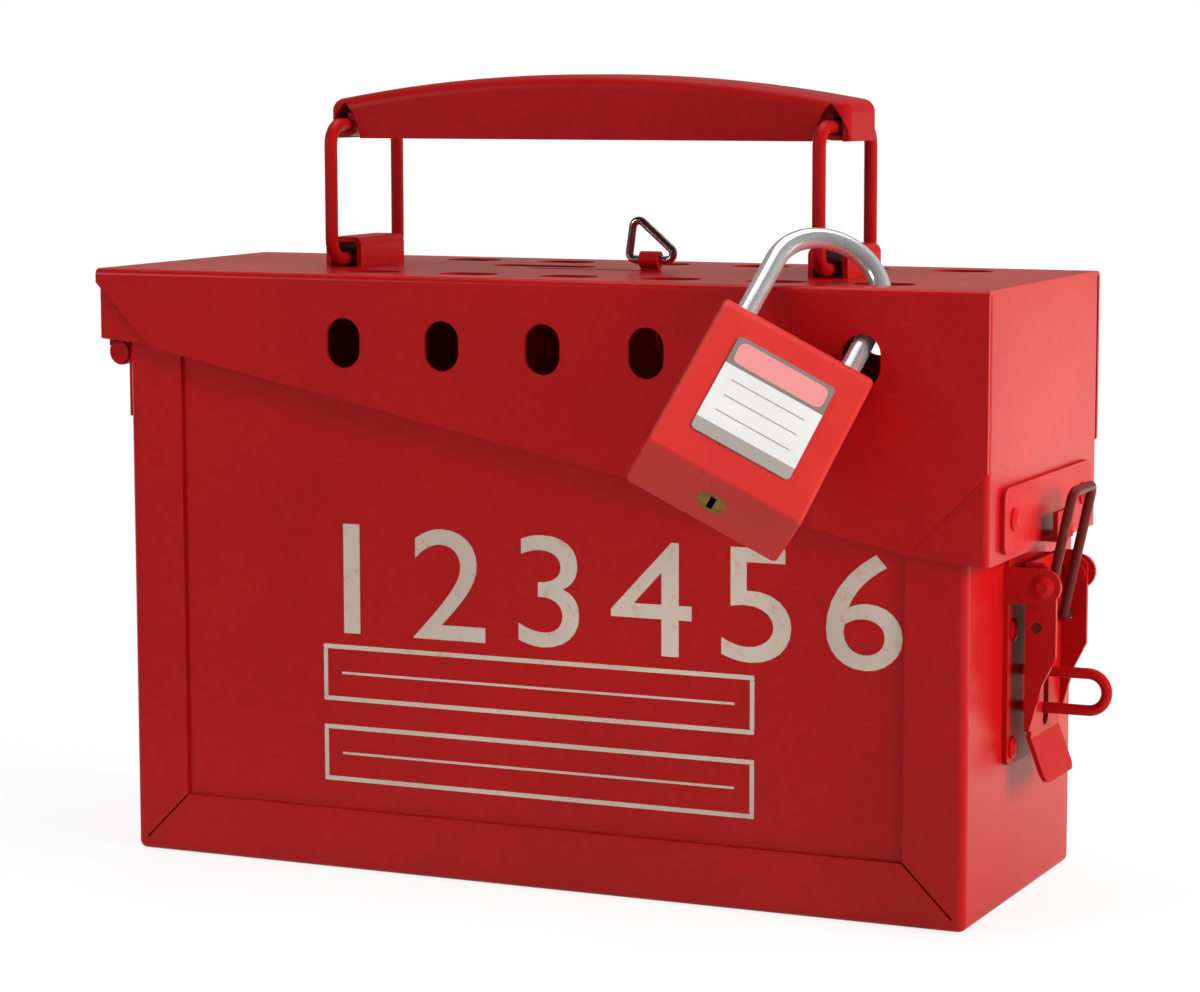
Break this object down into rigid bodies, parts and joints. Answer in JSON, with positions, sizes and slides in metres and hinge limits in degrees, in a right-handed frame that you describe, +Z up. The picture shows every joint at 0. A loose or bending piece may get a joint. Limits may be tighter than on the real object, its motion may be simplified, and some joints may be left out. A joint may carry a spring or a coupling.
{
  "type": "group lockout box",
  "caption": "Red steel lockout box with an end-hinged lid, sloping skirts with padlock holes, folding handle, draw latch and one hanging padlock.",
  "frame": {"origin": "middle of the underside of the box", "axes": "+X along the long side towards the latch, +Y from front to back, +Z up"},
  "size_m": [0.2512, 0.1405, 0.1948],
  "materials": {
    "box_paint": "glossy red powder coat on sheet steel",
    "red_paint": "glossy red powder coat on small steel fittings",
    "handle_paint": "satin red powder coat on the grip and its wire loops",
    "latch_wire": "thin worn red coat on spring wire",
    "plated_steel": "bright zinc-plated steel wire",
    "shackle_steel": "polished chrome-plated shackle steel",
    "lock_shell": "bright orange-red moulded plastic, satin gloss",
    "lock_label": "white write-on plate with a pink-red band and a grey band",
    "lock_brass": "turned brass key plug"
  },
  "bodies": {
    "box": {"body_wrap": "box_paint", "front_panel": "box_paint", "back_panel": "box_paint", "body_hinge_leaf": "red_paint", "hinge_pin": "red_paint", "body_hinge_rivets": "red_paint", "latch_base": "red_paint", "latch_base_rivets": "red_paint", "latch_pivots": "red_paint", "padlock_staple": "red_paint"},
    "lid": {"lid_cover": "box_paint", "lid_left_end": "box_paint", "lid_right_end": "box_paint", "lid_hinge_leaf": "red_paint", "lid_hinge_rivets": "red_paint", "handle_saddle_left": "red_paint", "handle_saddle_right": "red_paint", "latch_keeper": "red_paint", "keeper_rivets": "red_paint", "shutter_guides": "red_paint"},
    "loop_left": {"handle_loop_left": "handle_paint"},
    "loop_right": {"handle_loop_right": "handle_paint"},
    "grip": {"handle_grip": "handle_paint"},
    "shutter": {"key_shutter": "red_paint"},
    "pull": {"pull_ring": "plated_steel"},
    "lever": {"latch_lever": "red_paint"},
    "bail": {"latch_bail": "latch_wire"},
    "shackle": {"padlock_shackle": "shackle_steel"},
    "lock": {"padlock_body": "lock_shell", "padlock_label": "lock_label"},
    "plug": {"padlock_plug": "lock_brass"}
  },
  "joints": [
    {"name": "lid_hinge", "type": "hinge", "parent": "box", "child": "lid", "pos_m": [-0.1136, 0, 0.126], "axis": [0, -1, 0], "range_deg": [0, 140]},
    {"name": "handle_fold", "type": "hinge", "parent": "lid", "child": "loop_left", "pos_m": [-0.0648, 0, 0.149], "axis": [0, 1, 0], "range_deg": [-74, 74]},
    {"name": "handle_link", "type": "hinge", "parent": "lid", "child": "loop_right", "pos_m": [0.0648, 0, 0.149], "axis": [0, 1, 0], "range_deg": [-74, 74]},
    {"name": "grip_level", "type": "hinge", "parent": "loop_left", "child": "grip", "pos_m": [-0.0648, 0, 0.1824], "axis": [0, 1, 0], "range_deg": [-74, 74]},
    {"name": "shutter_slide", "type": "slide", "parent": "lid", "child": "shutter", "axis": [-1, 0, 0], "range_m": [0, 0.03]},
    {"name": "pull_flip", "type": "hinge", "parent": "shutter", "child": "pull", "pos_m": [0.0143, 0, 0.1497], "axis": [1, 0, 0], "range_deg": [-80, 80]},
    {"name": "latch_lever_turn", "type": "hinge", "parent": "box", "child": "lever", "pos_m": [0.1195, 0, 0.077], "axis": [0, -1, 0], "range_deg": [0, 150]},
    {"name": "bail_swing", "type": "hinge", "parent": "lever", "child": "bail", "pos_m": [0.1176, 0, 0.067], "axis": [0, -1, 0], "range_deg": [-150, 0]},
    {"name": "padlock_swing", "type": "hinge", "parent": "lid", "child": "shackle", "pos_m": [0.084, -0.0427, 0.1321], "axis": [-1, 0, 0], "range_deg": [0, 6]},
    {"name": "padlock_pull", "type": "slide", "parent": "shackle", "child": "lock", "axis": [-0.125, -0.7319, -0.6699], "range_m": [0, 0.012]},
    {"name": "plug_turn", "type": "hinge", "parent": "lock", "child": "plug", "pos_m": [0.06756, -0.07908, 0.10893], "axis": [0.125, 0.7319, 0.6699], "range_deg": [0, 90]}
  ],
  "couplings": [
    {"joint": "handle_link", "follows": "handle_fold", "ratio": 1},
    {"joint": "grip_level", "follows": "handle_fold", "ratio": -1},
    {"joint": "bail_swing", "follows": "latch_lever_turn", "ratio": -1}
  ]
}
